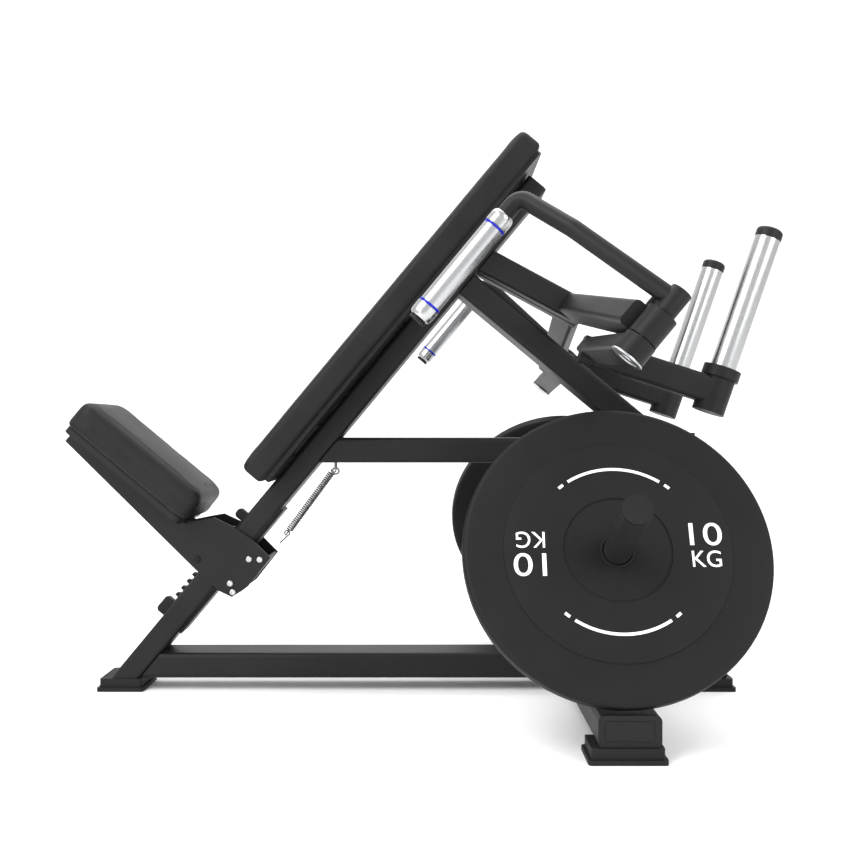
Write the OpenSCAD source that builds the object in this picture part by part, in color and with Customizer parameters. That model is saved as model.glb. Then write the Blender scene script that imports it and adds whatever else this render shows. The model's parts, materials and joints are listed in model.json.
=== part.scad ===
// Plate-loaded incline chest-supported arm machine.
// Base frame with an inclined pad post, a seat that slides on the post, two swinging arms
// with bearing housings on a fixed yoke, plate horns, storage pegs and two bumper plates.
// X runs from the seat end to the horn end, Y runs across, Z is up, floor at Z = 0.

/* [Frame] */
// Lean of the pad post above the floor, degrees
post_tilt = 50.27; // [45:0.1:55]
// Length of the pad post along its axis, mm
post_length = 1282; // [1100:1:1400]
// Width of the frame tubes across the machine, mm
tube_width = 100; // [80:1:120]
// Height of the frame tubes, mm
tube_height = 50; // [40:1:60]
// Reach of each cross tube from the middle plane, mm
cross_reach = 530; // [400:1:600]

/* [Seat] */
// Width of the seat pad, mm
seat_width = 240; // [200:1:300]
// Thickness of the seat pad, mm
seat_thickness = 63; // [40:1:80]
// Pitch of the seat rack teeth, mm
rack_pitch = 17.5; // [12:0.5:25]

/* [Back pad] */
// Width of the long pad, mm
pad_width = 280; // [240:1:340]
// Thickness of the long pad, mm
pad_thickness = 59; // [40:1:80]

/* [Arms] */
// Distance of each pivot axis from the middle plane, mm
pivot_reach = 630; // [550:1:700]
// Distance of each plate horn from the middle plane, mm
horn_reach = 200; // [150:1:260]
// Radius of the plate horns, mm
horn_radius = 24; // [20:0.5:25]
// Distance of each hand grip from the middle plane, mm
grip_reach = 508; // [400:1:560]

/* [Plates] */
// Radius of the bumper plates, mm
plate_radius = 257; // [200:1:260]
// Thickness of the bumper plates, mm
plate_thickness = 40; // [30:1:90]
// Upward lean of the storage pegs, degrees
peg_lean = 24.5; // [10:0.5:35]

/* [Hidden] */
$fn = 64;
// Shift that centres the whole machine on X = 0
x_shift = 35.24;
// Foot of the pad post in the X-Z plane, mm
post_x = -602;
post_z = 27;
// Front and rear faces of the post along its normal, mm
post_front = 26;
post_rear = -19;
// Unit vector along the post
ux = cos(post_tilt);
uz = sin(post_tilt);
// Foot height and frame level, mm
foot_height = 25;
beam_top = foot_height + tube_height;
upper_beam_z = 455;
// Steel tube corner radius, mm
tube_corner = 9;
// Pivot centre in the X-Z plane, mm
pivot_x = 315;
pivot_z = 658;
// Pivot stack along the pivot axis, mm
housing_low = -6;
housing_high = 42;
hub_low = -40;
hub_high = -8;
sleeve_high = 86;
// Horn axis foot and lean in the X-Z plane
horn_x = 515.4;
horn_z = 553.8;
horn_lean = atan2(0.3277, 0.9447);
horn_sleeve_length = 66;
horn_collar_length = 20;
horn_total = 360;
horn_cap_length = 20;
// Elbow of the weight arm in the X-Z plane, mm
elbow_x = 302;
elbow_z = 665;
// Storage peg reference point on the plate's outer face, mm
peg_x = 310;
peg_y = 433;
peg_z = 324.5;
peg_radius = 24;
peg_out = 188;
// Grip geometry along its own axis from the top corner, mm
grip_x = 141;
grip_z = 888;
grip_start = 36;
grip_length = 212;
grip_radius = 18;
core_radius = 11;
bar_radius = 14;

// Which node to draw

// ---- helpers ----

// Everything is placed with the same shift along X.
module placed() translate([x_shift, 0, 0]) children();

// Post frame: local X runs up the post, local Z is the post's front normal.
module on_post() translate([post_x, 0, post_z]) rotate([0, -post_tilt, 0]) children();

// Left pivot frame: local X runs up the pivot axis, local Z is the post's front normal.
module on_pivot() translate([pivot_x, -pivot_reach, pivot_z]) rotate([0, -post_tilt, 0]) children();

// The right side is the mirror image of the left one.
module flipped() mirror([0, 1, 0]) children();

// Rectangle with round corners, centred.
module round_rect(a, b, r) {
    square([a - 2 * r, b], center = true);
    square([a, b - 2 * r], center = true);
    for (i = [-1, 1], j = [-1, 1]) translate([i * (a / 2 - r), j * (b / 2 - r)]) circle(r);
}

// Box from its low and high corners.
module block(p, q) translate(p) cube(q - p);

// Tube along local X from x0 to x1, height h, width w across Y.
module tube_x(x0, x1, h, w, r) translate([x0, 0, 0]) rotate([0, 90, 0])
    linear_extrude(x1 - x0) round_rect(h, w, r);

// Round rod along local X.
module rod_x(x0, x1, r) translate([x0, 0, 0]) rotate([0, 90, 0]) cylinder(h = x1 - x0, r = r);

// Round rod between two points.
module rod(p, q, r) {
    d = q - p;
    translate(p) rotate([0, acos(d[2] / norm(d)), atan2(d[1], d[0])]) cylinder(h = norm(d), r = r);
}

// Half space in front of the post's rear face.
module post_side() on_post() block([-900, -400, post_rear], [2400, 400, 900]);

// Flat plate outline in (along post, front normal) coordinates, from y0 to y1.
module post_plate(points, y0, y1) on_post() translate([0, y1, 0]) rotate([90, 0, 0])
    linear_extrude(y1 - y0) polygon(points);

// ---- fixed frame ----

module main_post() color("#1b1c1e") placed() difference() {
    on_post() translate([0, 0, (post_front + post_rear) / 2])
        tube_x(-60, post_length - 6, post_front - post_rear, tube_width, tube_corner);
    block([-900, -200, -200], [-300, 200, foot_height]);
}

module base_beam() color("#1b1c1e") placed() difference() {
    translate([0, 0, foot_height + tube_height / 2])
        tube_x(-640, 586, tube_height, tube_width, tube_corner);
    post_side();
}

module upper_beam() color("#1b1c1e") placed() difference() {
    translate([0, 0, upper_beam_z + tube_height / 2])
        tube_x(-400, 520, tube_height, tube_width, tube_corner);
    post_side();
    on_post() block([1011, -200, -900], [1400, 200, 200]);
}

module rear_strut() color("#1b1c1e") placed() difference() {
    on_post() translate([1036, 0, -620]) linear_extrude(620 + post_rear)
        round_rect(tube_height, tube_width, tube_corner);
    block([480, -200, 0], [900, 200, 900]);
}

module rear_upright() color("#1b1c1e") placed()
    translate([505, 0, beam_top]) linear_extrude(434) round_rect(50, tube_width, tube_corner);

module peg_upright() color("#1b1c1e") placed()
    translate([peg_x, 0, beam_top]) linear_extrude(upper_beam_z - beam_top) round_rect(60, tube_width, 5);

module cross_tube_left() color("#1b1c1e") placed()
    translate([312, -tube_width / 2, foot_height + tube_height / 2]) rotate([90, 0, 0])
        linear_extrude(cross_reach - 6 - tube_width / 2) round_rect(100, tube_height, tube_corner);

module cross_tube_right() flipped() cross_tube_left();

// Moulded caps on the open tube ends.
module end_caps() color("#101112") placed() {
    on_post() translate([0, 0, (post_front + post_rear) / 2])
        tube_x(post_length - 6, post_length, post_front - post_rear, tube_width, tube_corner);
    translate([0, 0, foot_height + tube_height / 2]) tube_x(586, 592, tube_height, tube_width, tube_corner);
    translate([505, 0, beam_top + 434]) linear_extrude(6) round_rect(50, tube_width, tube_corner);
    for (k = [0, 1]) mirror([0, k, 0])
        translate([312, -(cross_reach - 6), foot_height + tube_height / 2]) rotate([90, 0, 0])
            linear_extrude(6) round_rect(100, tube_height, tube_corner);
}

// Rubber foot with a thin lip round its base.
module foot(x0, x1, y0, y1) {
    lip = 5;
    translate([(x0 + x1) / 2, (y0 + y1) / 2, 0]) linear_extrude(8) round_rect(x1 - x0, y1 - y0, 6);
    translate([(x0 + x1) / 2, (y0 + y1) / 2, 8]) linear_extrude(foot_height - 8)
        round_rect(x1 - x0 - 2 * lip, y1 - y0 - 2 * lip, 5);
}

module front_foot() color("#141414") placed() foot(-663, -570, -58, 58);

module rear_foot() color("#141414") placed() foot(516, 609, -58, 58);

module side_feet() color("#141414") placed() for (k = [0, 1]) mirror([0, k, 0]) foot(246, 371, -540, -448);

// Plates that carry the long pad on the post.
module pad_brackets() color("#1b1c1e") placed() on_post() {
    for (s = [560, 900, 1180]) block([s, -90, post_front], [s + 70, 90, post_front + 3]);
}

// Board under the long pad.
module pad_board() color("#121212") placed() on_post()
    translate([900, 0, post_front + 3]) linear_extrude(8) round_rect(830, pad_width - 24, 20);

module back_pad() color("#17181a") placed() on_post()
    translate([900, 0, post_front + 11]) linear_extrude(pad_thickness - 8) round_rect(852, pad_width, 22);

// Toothed rack on the front of the post.
module seat_rack() color("#1e1f21") placed() {
    teeth = 11;
    first = 172;
    post_plate([
        [129, 26], [397, 26], [397, 44], [392, 49], [382, 49], [377, 44], [377, 30],
        for (i = [0 : teeth - 1]) each [
            [first + (teeth - i) * rack_pitch - 4, 30],
            [first + (teeth - i) * rack_pitch - 8, 37],
            [first + (teeth - i) * rack_pitch - 13, 37],
            [first + (teeth - i) * rack_pitch - 14, 30]
        ],
        [165, 30], [165, 44], [160, 49], [134, 49], [129, 44]
    ], -8, 8);
}

module guide_rail() color("#26272a") placed() on_post() block([130, -35, post_rear - 6], [452, 35, post_rear]);

// ---- yoke with the bearing housings ----

module yoke_left() color("#1b1c1e") placed() difference() {
    union() {
        // inner run from the post's rear face
        difference() {
            translate([286, -25, 766]) rotate([0, 28.3, 0]) translate([-260, 0, 0])
                tube_x(0, 285, 50, 50, 8);
            post_side();
        }
        // lateral run out to the housing
        intersection() {
            on_pivot() translate([18, 18, 19]) rotate([7.08, 0, -4.58])
                rotate([-90, 0, 0]) linear_extrude(600) round_rect(44, 50, 8);
            block([0, -pivot_reach, 500], [700, 0, 1000]);
        }
        // gusset between the two runs
        translate([286, -50, 766]) rotate([0, 28.3, 0]) block([-60, 0, -3], [25, 50, 3]);
        // bearing housing
        on_pivot() rod_x(housing_low, housing_high, 25);
        // stop post beside the grip arm
        on_pivot() translate([0, 60, 18]) rod_x(30, 76, 7);
    }
    on_pivot() rod_x(housing_low - 5, housing_high + 5, 12.55);
    block([0, 0, 500], [700, 50, 1000]);
}

module yoke_right() flipped() yoke_left();

// ---- storage pegs ----

// Peg frame: origin on the plate's outer face, local Z along the peg.
module on_peg() translate([peg_x, -peg_y, peg_z]) rotate([90 - peg_lean, 0, 0]) children();

module peg_left() color("#2a2b2d") placed() difference() {
    union() {
        on_peg() translate([0, 0, -480]) cylinder(h = 480 + peg_out - 6, r = peg_radius);
        on_peg() translate([0, 0, -plate_thickness - 9]) cylinder(h = 8, r = 45);
    }
    block([0, -50, -100], [700, 400, 600]);
}

module peg_right() flipped() peg_left();

module peg_end_caps() color("#101112") placed() for (k = [0, 1]) mirror([0, k, 0])
    on_peg() translate([0, 0, peg_out - 6]) cylinder(h = 6, r = peg_radius);

// ---- seat carriage ----

module spring_eye() color("#8a8c8f") placed() {
    translate([-192, 0, upper_beam_z - 14]) cylinder(h = 14, r = 3);
    translate([-192, 4, upper_beam_z - 18]) rotate([90, 0, 0]) difference() {
        cylinder(h = 8, r = 8);
        translate([0, 0, -1]) cylinder(h = 10, r = 4.5);
    }
}

carriage_outline = [
    [341, 84], [356, 71], [366, 33], [371, -15], [366, -66], [294, -68], [281, -65],
    [257, -57], [250, -29], [253, 33], [284, 396], [309, 396], [309, 110]
];

module seat_carriage() color("#1b1c1e") placed() {
    for (k = [0, 1]) mirror([0, k, 0]) post_plate(carriage_outline, -57, -52);
    // web under the seat board and web behind the rollers
    on_post() block([304, -52, 120], [309, 52, 390]);
    on_post() block([282, -52, -65], [364, 52, -60]);
    on_post() block([284, -52, 330], [304, 52, 335]);
}

module seat_board() color("#121212") placed() on_post()
    translate([309, 0, 256]) rotate([0, 90, 0]) linear_extrude(12) round_rect(286, seat_width - 20, 16);

module seat_pad() color("#17181a") placed() on_post()
    translate([321, 0, 256]) rotate([0, 90, 0]) linear_extrude(seat_thickness)
        round_rect(302, seat_width, 24);

// Rear rollers behind the post and front rollers beside the rack.
module carriage_rollers() color("#3a3b3d") placed() on_post() {
    for (s = [276, 337]) translate([s, 51.5, post_rear - 6 - 0.4 - 11]) rotate([90, 0, 0])
        cylinder(h = 103, r = 11);
    for (k = [0, 1]) mirror([0, k, 0]) translate([271, -20, 44.1]) rotate([90, 0, 0])
        cylinder(h = 31.5, r = 17.7);
}

module carriage_bolts() color("#c9cbce") placed() on_post() for (k = [0, 1]) mirror([0, k, 0])
    for (p = [[337, -35], [350, -52], [276, -37], [266, -52], [271, 44]])
        translate([p[0], -57, p[1]]) rotate([90, 0, 0]) cylinder(h = 5, r = 6);

// Release lever under the seat with the pawl tip above the rack.
module seat_lever() color("#26272a") placed() on_post() {
    translate([305, 51.7, 62]) rotate([90, 0, 0]) cylinder(h = 103.4, r = 6);
    translate([0, 6, 0]) rotate([90, 0, 0]) linear_extrude(12)
        polygon([[299, 62], [311, 62], [311, 52], [303, 38.2], [299, 38.2]]);
    translate([297, -5, 68]) cube([6, 10, 190]);
    translate([293, -20, 258]) cube([10, 40, 22]);
}

module return_spring() color("#b9bbbe") placed() {
    rod([-205, 0, 427.2], [-287, 0, 316], 6.5);
    rod([-289.5, 0, 312.6], [-303, 0, 294], 1.6);
}

// ---- swinging arm, left side ----

module pivot_shaft_left() color("#b4b6b9") placed() on_pivot() rod_x(hub_high, housing_high + 1, 12.5);

module weight_arm_left() color("#1b1c1e") placed() {
    dx = horn_x + 13.1 - elbow_x;
    dz = horn_z + 37.8 - elbow_z;
    on_pivot() rod_x(hub_low, hub_high, 26);
    // lateral run from the hub to the elbow
    intersection() {
        on_pivot() translate([-24, 10, 0]) rotate([2.2, 0, -3.1])
            rotate([-90, 0, 0]) linear_extrude(445) round_rect(31, 50, 6);
        block([0, -pivot_reach - 20, 400], [700, -horn_reach + 25, 900]);
    }
    // rearward run to the horn sleeve
    translate([elbow_x, -horn_reach, elbow_z]) rotate([0, atan2(-dz, dx), 0])
        tube_x(-22, norm([dx, dz]), 50, 50, 8);
    translate([horn_x, -horn_reach, horn_z]) rotate([0, horn_lean, 0])
        cylinder(h = horn_sleeve_length, r = 30);
}

module hub_cap_left() color("#d8dadd") placed() on_pivot() rod_x(hub_low - 3, hub_low, 27);

// Horn frame: local Z along the horn.
module on_horn() translate([horn_x, -horn_reach, horn_z]) rotate([0, horn_lean, 0]) children();

module horn_collar_left() color("#1b1c1e") placed() on_horn() translate([0, 0, horn_sleeve_length])
    cylinder(h = horn_collar_length, r = 35);

module horn_left() color("#d8dadd") placed() on_horn()
    translate([0, 0, horn_sleeve_length + horn_collar_length])
        cylinder(h = horn_total - horn_cap_length - horn_sleeve_length - horn_collar_length, r = horn_radius);

module horn_cap_left() color("#101112") placed() on_horn() translate([0, 0, horn_total - horn_cap_length]) {
    cylinder(h = horn_cap_length - 6, r = horn_radius);
    translate([0, 0, horn_cap_length - 6]) cylinder(h = 6, r = horn_radius - 3);
}

// Grip frame: local Z runs down the grip from the top corner.
module on_grip() translate([grip_x, -grip_reach, grip_z]) rotate([0, -(90 + post_tilt), 0]) children();

module grip_arm_left() color("#1b1c1e") placed() {
    a = [357, -pivot_reach, 712];
    b = [218, -565, 828];
    c = [grip_x, -grip_reach, grip_z];
    on_pivot() rod_x(housing_high + 1, sleeve_high, 17);
    rod(a, b, bar_radius);
    translate(b) sphere(bar_radius + 0.5);
    rod(b, c, bar_radius);
    translate(c) sphere(bar_radius + 0.5);
    on_grip() cylinder(h = grip_start - 1, r = bar_radius);
    on_grip() cylinder(h = grip_start + grip_length + 1, r = core_radius);
    on_grip() translate([0, 0, grip_start + grip_length + 1]) cylinder(h = 5, r = 15);
}

module grip_left() color("#c9cbce") placed() on_grip() translate([0, 0, grip_start + 8]) difference() {
    cylinder(h = grip_length - 16, r = grip_radius);
    translate([0, 0, -1]) cylinder(h = grip_length, r = core_radius + 0.06);
}

module grip_rings_left() color("#2b3fae") placed() on_grip() for (z = [grip_start, grip_start + grip_length - 8])
    translate([0, 0, z]) difference() {
        cylinder(h = 8, r = grip_radius + 1.5);
        translate([0, 0, -1]) cylinder(h = 10, r = core_radius + 0.06);
    }

module pivot_shaft_right() flipped() pivot_shaft_left();
module weight_arm_right() flipped() weight_arm_left();
module hub_cap_right() flipped() hub_cap_left();
module horn_collar_right() flipped() horn_collar_left();
module horn_right() flipped() horn_left();
module horn_cap_right() flipped() horn_cap_left();
module grip_arm_right() flipped() grip_arm_left();
module grip_right() flipped() grip_left();
module grip_rings_right() flipped() grip_rings_left();

// ---- bumper plates ----

// Rubber disc, thicker inside its outer band, with beveled edges.
module plate_left() color("#161718") placed() on_peg() translate([0, 0, -plate_thickness])
    rotate_extrude($fn = 96) polygon([
        [46, 0], [187, 0], [190, 3], [plate_radius - 8, 3], [plate_radius, 9],
        [plate_radius, plate_thickness - 9], [plate_radius - 8, plate_thickness - 3],
        [190, plate_thickness - 3], [187, plate_thickness], [46, plate_thickness]
    ]);

module plate_insert_left() color("#3a3b3d") placed() on_peg() translate([0, 0, -plate_thickness]) difference() {
    cylinder(h = plate_thickness, r = 46);
    translate([0, 0, -1]) cylinder(h = plate_thickness + 2, r = peg_radius + 1.2);
}

module plate_right() flipped() plate_left();
module plate_insert_right() flipped() plate_insert_left();

main_post();
base_beam();
upper_beam();
rear_strut();
rear_upright();
peg_upright();
cross_tube_left();
cross_tube_right();
end_caps();
front_foot();
rear_foot();
side_feet();
pad_brackets();
pad_board();
back_pad();
seat_rack();
guide_rail();
yoke_left();
yoke_right();
peg_left();
peg_right();
peg_end_caps();
spring_eye();
seat_carriage();
seat_board();
seat_pad();
carriage_rollers();
carriage_bolts();
seat_lever();
return_spring();
pivot_shaft_left();
weight_arm_left();
hub_cap_left();
horn_collar_left();
horn_left();
horn_cap_left();
grip_arm_left();
grip_left();
grip_rings_left();
pivot_shaft_right();
weight_arm_right();
hub_cap_right();
horn_collar_right();
horn_right();
horn_cap_right();
grip_arm_right();
grip_right();
grip_rings_right();
plate_left();
plate_insert_left();
plate_right();
plate_insert_right();
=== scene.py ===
"""Looks for the plate-loaded incline arm machine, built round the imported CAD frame."""

import json
import math

import bmesh
import bpy
from mathutils import Matrix, Vector


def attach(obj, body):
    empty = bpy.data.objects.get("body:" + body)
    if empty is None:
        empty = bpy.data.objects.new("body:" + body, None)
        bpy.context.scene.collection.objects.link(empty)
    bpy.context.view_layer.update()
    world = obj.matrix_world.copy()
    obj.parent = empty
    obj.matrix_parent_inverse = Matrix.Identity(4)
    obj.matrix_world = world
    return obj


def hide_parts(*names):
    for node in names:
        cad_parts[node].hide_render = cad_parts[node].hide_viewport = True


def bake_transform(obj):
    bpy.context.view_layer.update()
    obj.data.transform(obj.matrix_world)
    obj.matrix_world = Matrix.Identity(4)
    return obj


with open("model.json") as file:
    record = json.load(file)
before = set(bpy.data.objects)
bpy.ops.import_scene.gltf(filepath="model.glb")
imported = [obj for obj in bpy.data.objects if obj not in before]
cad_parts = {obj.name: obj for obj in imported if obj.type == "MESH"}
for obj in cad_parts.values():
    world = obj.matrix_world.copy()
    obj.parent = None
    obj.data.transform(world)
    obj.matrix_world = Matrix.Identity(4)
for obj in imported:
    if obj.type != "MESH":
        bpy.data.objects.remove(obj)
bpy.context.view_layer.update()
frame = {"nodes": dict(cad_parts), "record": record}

# ---- shared sizes, in metres, repeated from the CAD source ----
X_SHIFT = 0.03524
TILT = math.radians(50.27)
UP_POST = Vector((math.cos(TILT), 0, math.sin(TILT)))
POST_NORMAL = Vector((-math.sin(TILT), 0, math.cos(TILT)))
ACROSS = Vector((0, 1, 0))
POST_FOOT = Vector((-0.602 + X_SHIFT, 0, 0.027))
PIVOT_REACH = 0.630
PIVOT = Vector((0.315 + X_SHIFT, -PIVOT_REACH, 0.658))
GRIP_CORNER = Vector((0.141 + X_SHIFT, -0.508, 0.888))
GRIP_START, GRIP_LENGTH, GRIP_RADIUS = 0.036, 0.212, 0.018
PEG_FACE = Vector((0.310 + X_SHIFT, -0.433, 0.3245))
PEG_LEAN = math.radians(24.5)
PLATE_RADIUS, PLATE_THICK, HOLE_RADIUS = 0.257, 0.040, 0.0252
HORN_FOOT = Vector((0.5154 + X_SHIFT, -0.2, 0.5538))
HORN_LEAN = math.atan2(0.3277, 0.9447)
HORN_TOTAL, HORN_CAP, HORN_RADIUS = 0.360, 0.020, 0.024
SIDES = (("left", False), ("right", True))
MIRROR = Matrix.Diagonal((1, -1, 1, 1))


# ---- materials ----
def new_material(name, color, rough, metal=0.0, coat=0.0):
    m = bpy.data.materials.new(name)
    m.use_nodes = True
    s = m.node_tree.nodes["Principled BSDF"]
    s.inputs["Base Color"].default_value = (*color, 1)
    s.inputs["Roughness"].default_value = rough
    s.inputs["Metallic"].default_value = metal
    s.inputs["Coat Weight"].default_value = coat
    s.inputs["Specular IOR Level"].default_value = 0.5 if metal else 0.2
    return m, m.node_tree.nodes, m.node_tree.links, s


def texture(nodes, links, kind, scale, stretch=(1, 1, 1), **values):
    """A noise or cell texture in object space, with its coordinates stretched."""
    coord = nodes.new("ShaderNodeTexCoord")
    mapping = nodes.new("ShaderNodeMapping")
    mapping.inputs["Scale"].default_value = stretch
    tex = nodes.new(kind)
    tex.inputs["Scale"].default_value = scale
    for key, value in values.items():
        tex.inputs[key].default_value = value
    links.new(coord.outputs["Object"], mapping.inputs["Vector"])
    links.new(mapping.outputs["Vector"], tex.inputs["Vector"])
    return tex


def ramp(nodes, links, source, low, high, start=0.35, end=0.65):
    r = nodes.new("ShaderNodeValToRGB")
    r.color_ramp.elements[0].position = start
    r.color_ramp.elements[1].position = end
    r.color_ramp.elements[0].color = (*low, 1)
    r.color_ramp.elements[1].color = (*high, 1)
    links.new(source, r.inputs["Fac"])
    return r


def span(nodes, links, source, low, high):
    r = nodes.new("ShaderNodeMapRange")
    r.inputs["To Min"].default_value = low
    r.inputs["To Max"].default_value = high
    links.new(source, r.inputs["Value"])
    return r.outputs["Result"]


def bump(nodes, links, source, shader, strength, distance, below=None):
    b = nodes.new("ShaderNodeBump")
    b.inputs["Strength"].default_value = strength
    b.inputs["Distance"].default_value = distance
    links.new(source, b.inputs["Height"])
    if below:
        links.new(below, b.inputs["Normal"])
    links.new(b.outputs["Normal"], shader.inputs["Normal"])
    return b.outputs["Normal"]


def powder_coat(name, dark, light, rough_low, rough_high):
    """Satin powder coat: fine orange peel, faint cloudy change of colour and gloss."""
    m, n, l, s = new_material(name, light, rough_high)
    cloud = texture(n, l, "ShaderNodeTexNoise", 7.0, Detail=4.0)
    l.new(ramp(n, l, cloud.outputs["Fac"], dark, light).outputs["Color"], s.inputs["Base Color"])
    l.new(span(n, l, cloud.outputs["Fac"], rough_low, rough_high), s.inputs["Roughness"])
    peel = texture(n, l, "ShaderNodeTexNoise", 620.0, Detail=2.0)
    bump(n, l, peel.outputs["Fac"], s, 0.18, 0.0004)
    return m


def grained_leather(name):
    """Upholstery vinyl: small pebbled cells with creases, over soft patches of sheen."""
    m, n, l, s = new_material(name, (0.02, 0.021, 0.023), 0.5)
    cells = texture(n, l, "ShaderNodeTexVoronoi", 420.0)
    creases = texture(n, l, "ShaderNodeTexNoise", 150.0, Detail=5.0)
    patches = texture(n, l, "ShaderNodeTexNoise", 9.0, Detail=3.0)
    tone = ramp(n, l, patches.outputs["Fac"], (0.0048, 0.0050, 0.0056), (0.0078, 0.0081, 0.0088))
    l.new(tone.outputs["Color"], s.inputs["Base Color"])
    l.new(span(n, l, patches.outputs["Fac"], 0.42, 0.60), s.inputs["Roughness"])
    first = bump(n, l, creases.outputs["Fac"], s, 0.25, 0.0008)
    bump(n, l, cells.outputs["Distance"], s, 0.45, 0.0005, first)
    return m


def speckled_rubber(name, color, rough=0.55, grain=380.0):
    """Moulded rubber: dull, with a fine cast grain and a dusty bloom."""
    m, n, l, s = new_material(name, color, rough)
    bloom = texture(n, l, "ShaderNodeTexNoise", 12.0, Detail=6.0)
    pale = tuple(c * 1.3 + 0.0008 for c in color)
    l.new(ramp(n, l, bloom.outputs["Fac"], color, pale).outputs["Color"], s.inputs["Base Color"])
    l.new(span(n, l, bloom.outputs["Fac"], rough - 0.08, rough + 0.1), s.inputs["Roughness"])
    cast = texture(n, l, "ShaderNodeTexNoise", grain, Detail=4.0)
    bump(n, l, cast.outputs["Fac"], s, 0.2, 0.0005)
    return m


def brushed_metal(name, color, rough, stretch, scale=60.0):
    """Bare metal with fine marks drawn out across the given axes."""
    m, n, l, s = new_material(name, color, rough, 1.0)
    marks = texture(n, l, "ShaderNodeTexNoise", scale, stretch, Detail=6.0)
    l.new(span(n, l, marks.outputs["Fac"], rough * 0.75, rough * 1.35), s.inputs["Roughness"])
    low = tuple(c * 0.9 for c in color)
    l.new(ramp(n, l, marks.outputs["Fac"], low, color).outputs["Color"], s.inputs["Base Color"])
    bump(n, l, marks.outputs["Fac"], s, 0.012, 0.00005)
    return m


def moulded_plastic(name, color, rough):
    m, n, l, s = new_material(name, color, rough)
    spark = texture(n, l, "ShaderNodeTexNoise", 500.0, Detail=3.0)
    mottle = texture(n, l, "ShaderNodeTexNoise", 15.0, Detail=2.0)
    l.new(span(n, l, mottle.outputs["Fac"], rough - 0.06, rough + 0.08), s.inputs["Roughness"])
    low = tuple(c * 0.85 for c in color)
    l.new(ramp(n, l, mottle.outputs["Fac"], low, color).outputs["Color"], s.inputs["Base Color"])
    bump(n, l, spark.outputs["Fac"], s, 0.12, 0.0003)
    return m


MATERIALS = {
    "painted_black": powder_coat("powder_black", (0.0055, 0.0057, 0.0061), (0.0085, 0.0087, 0.0092),
                                 0.42, 0.54),
    "peg_steel": powder_coat("peg_black", (0.013, 0.013, 0.0135), (0.019, 0.019, 0.0195), 0.28, 0.38),
    "black_plastic": moulded_plastic("cap_plastic", (0.009, 0.009, 0.0095), 0.45),
    "foot_rubber": speckled_rubber("foot_rubber", (0.007, 0.007, 0.007), 0.6),
    "black_upholstery": grained_leather("pad_vinyl"),
    "bright_steel": brushed_metal("bright_steel", (0.50, 0.51, 0.52), 0.30, (1, 1, 1), 240.0),
    "chrome": brushed_metal("satin_chrome", (0.47, 0.475, 0.48), 0.24, (6, 6, 1), 90.0),
    "grip_aluminium": brushed_metal("grip_aluminium", (0.45, 0.455, 0.465), 0.28, (5, 5, 5), 110.0),
    "ring_blue": moulded_plastic("ring_blue", (0.006, 0.012, 0.34), 0.34),
    "roller_plastic": moulded_plastic("roller_plastic", (0.05, 0.05, 0.055), 0.4),
    "plate_rubber": speckled_rubber("plate_rubber", (0.0036, 0.0036, 0.0040), 0.58),
    "insert_steel": powder_coat("insert_black", (0.009, 0.009, 0.0095), (0.013, 0.013, 0.0135), 0.3, 0.4),
    "white_print": moulded_plastic("white_print", (0.86, 0.86, 0.86), 0.45),
}

DARK_STEEL = brushed_metal("dark_steel", (0.16, 0.16, 0.165), 0.34, (1, 1, 1), 240.0)

for entry in frame["record"]["subparts"]:
    node = frame["nodes"][entry["node"]]
    node.data.materials.clear()
    node.data.materials.append(MATERIALS[entry["material_slot"]])
frame["nodes"]["spring_eye"].data.materials[0] = DARK_STEEL


# ---- mesh helpers ----
def frame_matrix(origin, x, y, z):
    """Local axes x, y and z placed at origin."""
    return Matrix.Translation(origin) @ Matrix((x, y, z)).transposed().to_4x4()


def finish_piece(bm, name, slot, body, matrix=None, mirrored=False, sharp=35, replaces=()):
    """Turns a bmesh into a piece in the row frame, with its material, body and replaced nodes."""
    if matrix is not None:
        bm.transform(matrix)
    if mirrored:
        bm.transform(MIRROR)
    bmesh.ops.recalc_face_normals(bm, faces=bm.faces)
    mesh = bpy.data.meshes.new(name)
    bm.to_mesh(mesh)
    bm.free()
    mesh.shade_smooth()
    mesh.set_sharp_from_angle(angle=math.radians(sharp))
    obj = bpy.data.objects.new(name, mesh)
    bpy.context.scene.collection.objects.link(obj)
    mesh.materials.append(MATERIALS[slot])
    if body:
        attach(obj, body)
    if replaces:
        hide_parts(*replaces)
    return obj


def lathe(bm, profile, steps=96, closed=False, matrix=None):
    """Turns (radius, height) points round local Z. A radius of 0 closes that end."""
    rings = []
    for r, z in profile:
        if r < 1e-6:
            rings.append([bm.verts.new((0, 0, z))])
        else:
            rings.append([
                bm.verts.new((r * math.cos(a), r * math.sin(a), z))
                for a in (2 * math.pi * k / steps for k in range(steps))
            ])
    if matrix is not None:
        for ring in rings:
            for v in ring:
                v.co = matrix @ v.co
    pairs = list(zip(rings, rings[1:] + rings[:1])) if closed else list(zip(rings, rings[1:]))
    for a, b in pairs:
        for k in range(steps):
            j = (k + 1) % steps
            loop = [a[k % len(a)], a[j % len(a)], b[j % len(b)], b[k % len(b)]]
            unique = list(dict.fromkeys(loop))
            if len(unique) > 2:
                bm.faces.new(unique)


def rounded_corner(r0, z0, r1, z1, bulge_r, bulge_z, steps=5):
    """Quarter ellipse from (r0, z0) to (r1, z1), round the centre (bulge_r, bulge_z)."""
    out = []
    for k in range(steps + 1):
        t = math.pi / 2 * k / steps
        out.append((
            bulge_r + (r0 - bulge_r) * math.cos(t) + (r1 - bulge_r) * math.sin(t),
            bulge_z + (z0 - bulge_z) * math.cos(t) + (z1 - bulge_z) * math.sin(t),
        ))
    return out


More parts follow.
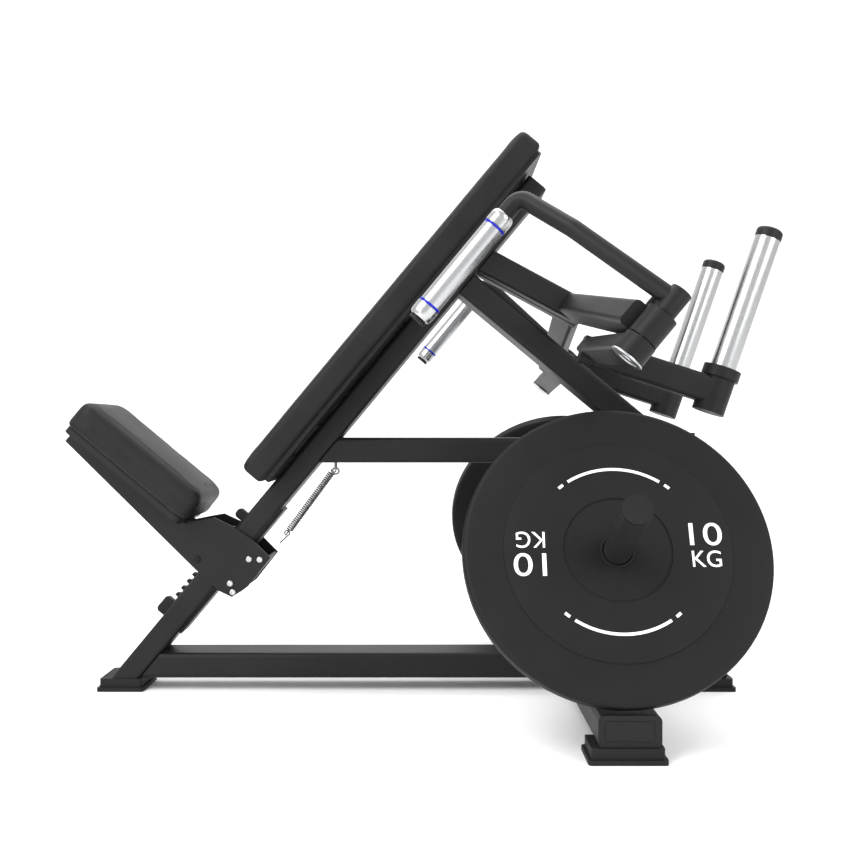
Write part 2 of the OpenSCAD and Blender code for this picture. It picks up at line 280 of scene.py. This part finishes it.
def filleted(points, radius, steps=8):
    """Polyline with its inner corners rounded."""
    out = [Vector(points[0])]
    for a, b, c in zip(points, points[1:], points[2:]):
        a, b, c = Vector(a), Vector(b), Vector(c)
        u, v = (a - b).normalized(), (c - b).normalized()
        half = u.angle(v) / 2
        back = min(radius / math.tan(half), (a - b).length * 0.49, (c - b).length * 0.49)
        p, q = b + u * back, b + v * back
        for k in range(steps + 1):
            t = k / steps
            out.append((1 - t) ** 2 * p + 2 * t * (1 - t) * b + t * t * q)
    out.append(Vector(points[-1]))
    return out


def sweep(bm, points, radius, steps=24):
    """Round tube along points, with closed ends and a frame carried along without twist."""
    rings = []
    normal = None
    for i, p in enumerate(points):
        d = (points[min(i + 1, len(points) - 1)] - points[max(i - 1, 0)]).normalized()
        if normal is None:
            normal = d.orthogonal().normalized()
        normal = (normal - d * normal.dot(d)).normalized()
        side = d.cross(normal)
        rings.append([
            bm.verts.new(p + radius * (math.cos(a) * normal + math.sin(a) * side))
            for a in (2 * math.pi * k / steps for k in range(steps))
        ])
    for a, b in zip(rings, rings[1:]):
        for k in range(steps):
            j = (k + 1) % steps
            bm.faces.new((a[k], a[j], b[j], b[k]))
    bm.faces.new(rings[0])
    bm.faces.new(rings[-1])


POST_FRAME = frame_matrix(POST_FOOT, UP_POST, ACROSS, POST_NORMAL)
PIVOT_FRAME = frame_matrix(PIVOT, ACROSS, POST_NORMAL, UP_POST)
GRIP_FRAME = frame_matrix(GRIP_CORNER, POST_NORMAL, ACROSS, -UP_POST)
HORN_AXIS = Vector((math.sin(HORN_LEAN), 0, math.cos(HORN_LEAN)))
HORN_FRAME = frame_matrix(HORN_FOOT, ACROSS.cross(HORN_AXIS), ACROSS, HORN_AXIS)
PEG_AXIS = Vector((0, -math.cos(PEG_LEAN), math.sin(PEG_LEAN)))
PEG_X = Vector((1, 0, 0))
PEG_FRAME = frame_matrix(PEG_FACE, PEG_X, PEG_AXIS.cross(PEG_X), PEG_AXIS)


# ---- cushions ----
CLOTH_INSET, VOXEL, HELD_HEIGHT = 0.0015, 0.006, 0.006
PRESSURE, CLOTH_STEPS, SWELL_CAP = 4.0, 18, 0.0025


def rounded_outline(a, b, r, steps=8):
    """Round-cornered rectangle as (x, y) points, centred."""
    out = []
    for cx, cy, start in ((1, 1, 0), (-1, 1, 90), (-1, -1, 180), (1, -1, 270)):
        for k in range(steps + 1):
            t = math.radians(start + 90 * k / steps)
            out.append((cx * (a / 2 - r) + r * math.cos(t), cy * (b / 2 - r) + r * math.sin(t)))
    return out


def cushion(name, node, body, matrix, length, width, thick, corner, edge, crown):
    """Padded block on a flat back: rounded shoulders, then cloth that may only swell outward."""
    a, b = length - 2 * CLOTH_INSET, width - 2 * CLOTH_INSET
    bm = bmesh.new()
    layers = [(0.0, 0.006), (0.003, 0.0)]
    shoulder = 8
    for k in range(shoulder + 1):
        t = math.pi / 2 * k / shoulder
        layers.append((thick - CLOTH_INSET - edge + edge * math.sin(t), edge * (1 - math.cos(t))))
    rings = []
    for z, pull in layers:
        rings.append([bm.verts.new((x, y, z)) for x, y in
                      rounded_outline(a - 2 * pull, b - 2 * pull, max(corner - pull, 0.004))])
    count = len(rings[0])
    for low, high in zip(rings, rings[1:]):
        for k in range(count):
            j = (k + 1) % count
            bm.faces.new((low[k], low[j], high[j], high[k]))
    bm.faces.new(rings[0])
    bm.faces.new(rings[-1])
    bmesh.ops.recalc_face_normals(bm, faces=bm.faces)
    mesh = bpy.data.meshes.new(name)
    bm.to_mesh(mesh)
    bm.free()
    obj = bpy.data.objects.new(name, mesh)
    bpy.context.scene.collection.objects.link(obj)
    bpy.context.view_layer.objects.active = obj
    remesh = obj.modifiers.new("remesh", "REMESH")
    remesh.mode = "VOXEL"
    remesh.voxel_size = VOXEL
    bpy.ops.object.modifier_apply(modifier=remesh.name)
    start = [v.co.copy() for v in obj.data.vertices]
    facing = [v.normal.copy() for v in obj.data.vertices]
    group = obj.vertex_groups.new(name="back")
    for v in obj.data.vertices:
        held = 1.0 if v.co.z < HELD_HEIGHT else 0.0
        group.add([v.index], held, "REPLACE")
    cloth = obj.modifiers.new("cloth", "CLOTH")
    cloth.settings.quality = 5
    cloth.settings.use_pressure = True
    cloth.settings.uniform_pressure_force = PRESSURE
    cloth.settings.vertex_group_mass = "back"
    cloth.settings.effector_weights.gravity = 0.0
    cloth.collision_settings.use_collision = False
    for step in range(1, CLOTH_STEPS + 1):
        bpy.context.scene.frame_set(step)
    bpy.ops.object.modifier_apply(modifier=cloth.name)
    bpy.context.scene.frame_set(1)
    for v, old, out in zip(obj.data.vertices, start, facing):
        u = old.x / (a / 2)
        w = old.y / (b / 2)
        swell = crown * max(0.0, 1 - u ** 4) * max(0.0, 1 - w ** 2)
        lift = max(0.0, min(1.0, (old.z - 0.5 * thick) / (0.4 * thick)))
        bulge = max(0.0, min(SWELL_CAP, (v.co - old).dot(out)))
        v.co = old + out * bulge + Vector((0, 0, swell * lift))
    obj.data.transform(matrix)
    sub = obj.modifiers.new("soften", "SUBSURF")
    sub.levels = sub.render_levels = 1
    bpy.ops.object.modifier_apply(modifier=sub.name)
    obj.data.shade_smooth()
    obj.data.materials.append(MATERIALS["black_upholstery"])
    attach(obj, body)
    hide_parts(node)
    return obj


PAD_MIDDLE, PAD_LENGTH, PAD_WIDTH, PAD_THICK = 0.900, 0.852, 0.280, 0.051
PAD_BACK = 0.037
pad_matrix = POST_FRAME @ Matrix.Translation((PAD_MIDDLE, 0, PAD_BACK))
cushion("back_cushion", "back_pad", "frame", pad_matrix,
        PAD_LENGTH, PAD_WIDTH, PAD_THICK, 0.018, 0.011, 0.003)
SEAT_MIDDLE, SEAT_LOW = 0.256, 0.321
SEAT_LENGTH, SEAT_WIDTH, SEAT_THICK = 0.302, 0.240, 0.063
seat_origin = POST_FOOT + UP_POST * SEAT_LOW + POST_NORMAL * SEAT_MIDDLE
seat_matrix = frame_matrix(seat_origin, POST_NORMAL, -ACROSS, UP_POST)
cushion("seat_cushion", "seat_pad", "seat", seat_matrix,
        SEAT_LENGTH, SEAT_WIDTH, SEAT_THICK, 0.026, 0.017, 0.004)


# ---- grips ----
def grip(side, mirrored):
    end = GRIP_START + GRIP_LENGTH
    r = GRIP_RADIUS
    body = f"grip_{side}"
    band_in, band_half = 0.024, 0.0023
    dome = 0.010
    bm = bmesh.new()
    inner = 0.0112
    lathe(bm, [(inner, GRIP_START + band_in)] + [(r, GRIP_START + band_in), (r, end - band_in)]
          + [(inner, end - band_in)], closed=True)
    finish_piece(bm, f"grip_sleeve_{side}", "grip_aluminium", body, GRIP_FRAME, mirrored,
                 replaces=[f"grip_{side}"])
    bm = bmesh.new()
    for z, s in ((GRIP_START, 1), (end, -1)):
        top = rounded_corner(r + 0.0012, z + s * dome, inner + 0.003, z, inner + 0.003, z + s * dome, 8)
        lathe(bm, [(inner, z)] + top[::-1] + [(r + 0.0012, z + s * (band_in - 0.0005)),
                                               (inner, z + s * (band_in - 0.0005))], closed=True)
    finish_piece(bm, f"grip_ends_{side}", "chrome", body, GRIP_FRAME, mirrored)
    bm = bmesh.new()
    for z in (GRIP_START + band_in + band_half, end - band_in - band_half):
        lathe(bm, [(r - 0.001, z - band_half), (r + 0.0008, z - band_half * 0.8),
                   (r + 0.0008, z + band_half * 0.8), (r - 0.001, z + band_half)], closed=True)
    finish_piece(bm, f"grip_bands_{side}", "ring_blue", body, GRIP_FRAME, mirrored,
                 replaces=[f"grip_rings_{side}"])


def grip_arm(side, mirrored):
    """Bent bar from the clamp sleeve to the grip, with the sleeve and the grip's core."""
    bar = 0.0145
    start = Vector((0.357 + X_SHIFT, -PIVOT_REACH, 0.712))
    knee = Vector((0.218 + X_SHIFT, -0.565, 0.828))
    finish = GRIP_CORNER - UP_POST * (GRIP_START + 0.004)
    bm = bmesh.new()
    sweep(bm, filleted([start, knee, GRIP_CORNER, finish], 0.034, 10), bar)
    sleeve = rounded_corner(0.0175, 0.0845, 0.016, 0.086, 0.016, 0.0845, 3)
    lathe(bm, [(0, 0.0432), (0.0163, 0.0432), (0.0175, 0.0444)] + sleeve + [(0, 0.086)],
          matrix=PIVOT_FRAME)
    core_end = GRIP_START + GRIP_LENGTH + 0.006
    lathe(bm, [(0, GRIP_START), (0.0108, GRIP_START), (0.0108, core_end - 0.005), (0.0135, core_end - 0.005),
               (0.0145, core_end - 0.004), (0.0145, core_end - 0.001), (0.0135, core_end), (0, core_end)],
          steps=48, matrix=GRIP_FRAME)
    finish_piece(bm, f"bent_grip_bar_{side}", "painted_black", f"arm_{side}", None, mirrored,
                 replaces=[f"grip_arm_{side}"])


# ---- plate horns' caps and hub caps ----
def caps(side, mirrored):
    base = HORN_TOTAL - HORN_CAP
    r = HORN_RADIUS + 0.0006
    bm = bmesh.new()
    top = rounded_corner(r, HORN_TOTAL - 0.008, 0.014, HORN_TOTAL, 0.014, HORN_TOTAL - 0.008, 8)
    lathe(bm, [(0, base), (r - 0.001, base), (r, base + 0.001)] + top + [(0, HORN_TOTAL)])
    finish_piece(bm, f"horn_dome_{side}", "black_plastic", f"arm_{side}", HORN_FRAME, mirrored,
                 replaces=[f"horn_cap_{side}"])
    bm = bmesh.new()
    low, high = -0.043, -0.040
    lathe(bm, [(0, high), (0.0268, high), (0.0272, high - 0.0008), (0.0272, low + 0.0008), (0.0262, low),
               (0.0185, low), (0.0175, low + 0.0012), (0.0085, low + 0.0012), (0.008, low), (0, low)])
    finish_piece(bm, f"hub_end_cap_{side}", "bright_steel", f"arm_{side}", PIVOT_FRAME, mirrored,
                 replaces=[f"hub_cap_{side}"])


# ---- bumper plates ----
def plate(side, mirrored):
    body = f"plate_{side}"
    rim = PLATE_RADIUS
    outer = [
        (0.0290, -0.0085), (0.050, -0.0062), (0.072, -0.0036), (0.0865, -0.0022), (0.0874, -0.0030),
        (0.0892, -0.0030), (0.0902, -0.0012), (0.1000, -0.0010), (0.186, -0.0010), (0.1885, -0.0014),
        (0.1900, -0.0034), (0.1918, -0.0038), (0.1935, -0.0034), (0.248, -0.0034),
    ]
    edge = rounded_corner(0.248, -0.0034, rim, -0.0115, 0.248, -0.0115, 8)[1:]
    face = outer + edge
    back = [(r, -PLATE_THICK - z) for r, z in reversed(face)]
    bm = bmesh.new()
    lathe(bm, face + back, steps=160, closed=True)
    finish_piece(bm, f"bumper_{side}", "plate_rubber", body, PEG_FRAME, mirrored, sharp=28,
                 replaces=[f"plate_{side}"])
    bm = bmesh.new()
    h = HOLE_RADIUS
    depth = PLATE_THICK - 0.0070
    lathe(bm, [(h, -0.0080), (h + 0.0008, -0.0070), (0.0282, -0.0070), (0.0291, -0.0085),
               (0.0291, -depth + 0.0015), (0.0282, -depth), (h + 0.0008, -depth), (h, -depth + 0.001)],
          closed=True)
    finish_piece(bm, f"hub_ring_{side}", "insert_steel", body, PEG_FRAME, mirrored,
                 replaces=[f"plate_insert_{side}"])
    marks(side, mirrored)


def flat_text(bm, words, size, wide, x, y, turn, z, mirror_text):
    """Adds plain raised characters to bm, centred on (x, y) of the plate's face and turned."""
    curve = bpy.data.curves.new("mark", "FONT")
    curve.body = words
    curve.size = size
    curve.align_x = "CENTER"
    curve.align_y = "CENTER"
    curve.extrude = 0.00025
    holder = bpy.data.objects.new("mark", curve)
    bpy.context.scene.collection.objects.link(holder)
    bpy.context.view_layer.update()
    mesh = bpy.data.meshes.new_from_object(holder)
    flip = Matrix.Diagonal((-wide if mirror_text else wide, 1, 1, 1))
    mesh.transform(Matrix.Translation((x, y, z)) @ Matrix.Rotation(turn, 4, "Z") @ flip)
    bm.from_mesh(mesh)
    bpy.data.objects.remove(holder)
    bpy.data.curves.remove(curve)
    bpy.data.meshes.remove(mesh)


def marks(side, mirrored):
    """Printed weight figures and two plain arcs on the outer face."""
    z = -0.0008
    bm = bmesh.new()
    for turn in (0.0, math.pi):
        c = math.cos(turn)
        flat_text(bm, "10", 0.056, 1.25, c * 0.140, c * 0.024, turn, z, mirrored)
        flat_text(bm, "KG", 0.040, 0.95, c * 0.144, c * -0.018, turn, z, mirrored)
    radius_in, radius_out = 0.1395, 0.1445
    for middle in (90, 270):
        for first, last in ((-33, 33), (-41, -37), (37, 41)):
            steps = max(2, int((last - first) / 2))
            ring = []
            for r in (radius_in, radius_out):
                ring.append([
                    bm.verts.new((r * math.cos(a), r * math.sin(a), z + 0.0002))
                    for a in (math.radians(middle + first + (last - first) * k / steps)
                              for k in range(steps + 1))
                ])
            for k in range(steps):
                bm.faces.new((ring[0][k], ring[0][k + 1], ring[1][k + 1], ring[1][k]))
    finish_piece(bm, f"plate_print_{side}", "white_print", f"plate_{side}", PEG_FRAME, mirrored)


for side, mirrored in SIDES:
    grip(side, mirrored)
    grip_arm(side, mirrored)
    caps(side, mirrored)
    plate(side, mirrored)


# ---- bolts on the seat carriage ----
def bolt_heads(name, slot, places, replaces=()):
    bm = bmesh.new()
    head = [(0, 0.0), (0.0064, 0.0), (0.0068, 0.0006)] + rounded_corner(
        0.0066, 0.0012, 0.0034, 0.0046, 0.0034, 0.0012, 6) + [(0.0030, 0.0046), (0.0028, 0.0022), (0, 0.0022)]
    for along, out in places:
        for y in (-1, 1):
            origin = POST_FOOT + UP_POST * along + POST_NORMAL * out + ACROSS * (y * 0.057)
            lathe(bm, head, 32, matrix=frame_matrix(origin, UP_POST, ACROSS.cross(UP_POST) * y, ACROSS * y))
    finish_piece(bm, name, slot, "seat", replaces=replaces)


# ---- return spring ----
def spring():
    top = Vector((-0.200 + X_SHIFT, 0, 0.434))
    low = Vector((-0.287 + X_SHIFT, 0, 0.316))
    anchor = Vector((-0.306 + X_SHIFT, 0, 0.290))
    axis = (low - top).normalized()
    normal = Vector((0, 1, 0))
    side = axis.cross(normal)
    length = (low - top).length
    turns, per_turn, radius, wire = 34, 16, 0.0060, 0.0016
    # hook through the eye, the coils, then the lower hook and its tail
    points = [Vector((-0.192 + X_SHIFT, 0, 0.4405))]
    for k in range(7):
        t = math.radians(-60 + 50 * k)
        points.append(top - axis * 0.006 + 0.005 * (math.cos(t) * -axis + math.sin(t) * side))
    for k in range(turns * per_turn + 1):
        t = 2 * math.pi * k / per_turn
        along = length * k / (turns * per_turn)
        points.append(top + axis * along + radius * (math.cos(t) * normal + math.sin(t) * side))
    for k in range(8):
        t = math.radians(90 + 45 * k)
        points.append(low + axis * 0.007 + 0.0055 * (math.cos(t) * side + math.sin(t) * axis))
    points.append(anchor)
    bm = bmesh.new()
    sweep(bm, points, wire, 6)
    piece = finish_piece(bm, "coil_spring", "bright_steel", None, replaces=["return_spring"])
    piece.data.materials[0] = DARK_STEEL
    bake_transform(piece)


bolt_heads("bright_bolts", "bright_steel",
           ((0.337, -0.035), (0.350, -0.052), (0.276, -0.037), (0.266, -0.052)), ["carriage_bolts"])
bolt_heads("dark_bolts", "painted_black", ((0.271, 0.044),))
spring()


# ---- moulded end caps with a raised border ----
def cap_borders():
    bm = bmesh.new()
    for y in (-1, 1):
        origin = Vector((0.312 + X_SHIFT, y * 0.530, 0.050))
        place = frame_matrix(origin, Vector((1, 0, 0)) * -y, Vector((0, 0, 1)), ACROSS * y)
        outline = rounded_outline(0.078, 0.032, 0.005, 5)
        points = [place @ Vector((px, py, 0.0)) for px, py in outline]
        points.append(points[0].copy())
        sweep(bm, points, 0.0011, 6)
    finish_piece(bm, "cap_borders", "black_plastic", "frame")


cap_borders()


# ---- stage, light and camera ----
def stage():
    bm = bmesh.new()
    half_width, near, far, rise, bend = 9.0, -6.0, 5.0, 6.0, 2.0
    profile = [(near, 0.0), (far - bend, 0.0)]
    for k in range(1, 13):
        t = math.pi / 2 * k / 12
        profile.append((far - bend + bend * math.sin(t), bend * (1 - math.cos(t))))
    profile.append((far, rise))
    rows = [[bm.verts.new((x, y, z)) for x in (-half_width, half_width)] for y, z in profile]
    for a, b in zip(rows, rows[1:]):
        bm.faces.new((a[0], a[1], b[1], b[0]))
    mesh = bpy.data.meshes.new("floor")
    bm.to_mesh(mesh)
    bm.free()
    mesh.shade_smooth()
    floor = bpy.data.objects.new("floor", mesh)
    bpy.context.scene.collection.objects.link(floor)
    m, _, _, s = new_material("floor_pale", (0.97, 0.97, 0.97), 0.8)
    mesh.materials.append(m)


def area(name, place, target, size, power, tall=None):
    data = bpy.data.lights.new(name, "AREA")
    data.energy = power
    data.size = size
    if tall:
        data.shape = "RECTANGLE"
        data.size_y = tall
    obj = bpy.data.objects.new(name, data)
    obj.location = place
    obj.rotation_euler = (Vector(target) - Vector(place)).to_track_quat("-Z", "Y").to_euler()
    bpy.context.scene.collection.objects.link(obj)


stage()
world = bpy.data.worlds.new("studio")
world.use_nodes = True
world.node_tree.nodes["Background"].inputs["Color"].default_value = (1, 1, 1, 1)
world.node_tree.nodes["Background"].inputs["Strength"].default_value = 1.0
bpy.context.scene.world = world
bpy.context.scene.view_settings.view_transform = "Standard"
area("key", (-2.4, -2.6, 3.2), (0, 0, 0.5), 2.4, 130)
area("fill", (2.8, -2.8, 1.8), (0.1, 0, 0.5), 2.0, 60)
area("top", (0.0, 0.6, 3.6), (0, 0, 0.4), 3.0, 90)
area("strip", (-1.6, -3.4, 0.9), (0, 0, 0.6), 0.5, 25, 2.4)

camera = bpy.data.cameras.new("camera")
camera.sensor_width = 36.0
camera.lens = 46.05
viewer = bpy.data.objects.new("camera", camera)
viewer.location = (X_SHIFT, -2.243, 0.5204)
viewer.rotation_euler = (math.pi / 2, 0, 0)
bpy.context.scene.collection.objects.link(viewer)
bpy.context.scene.camera = viewer

bpy.context.view_layer.update()
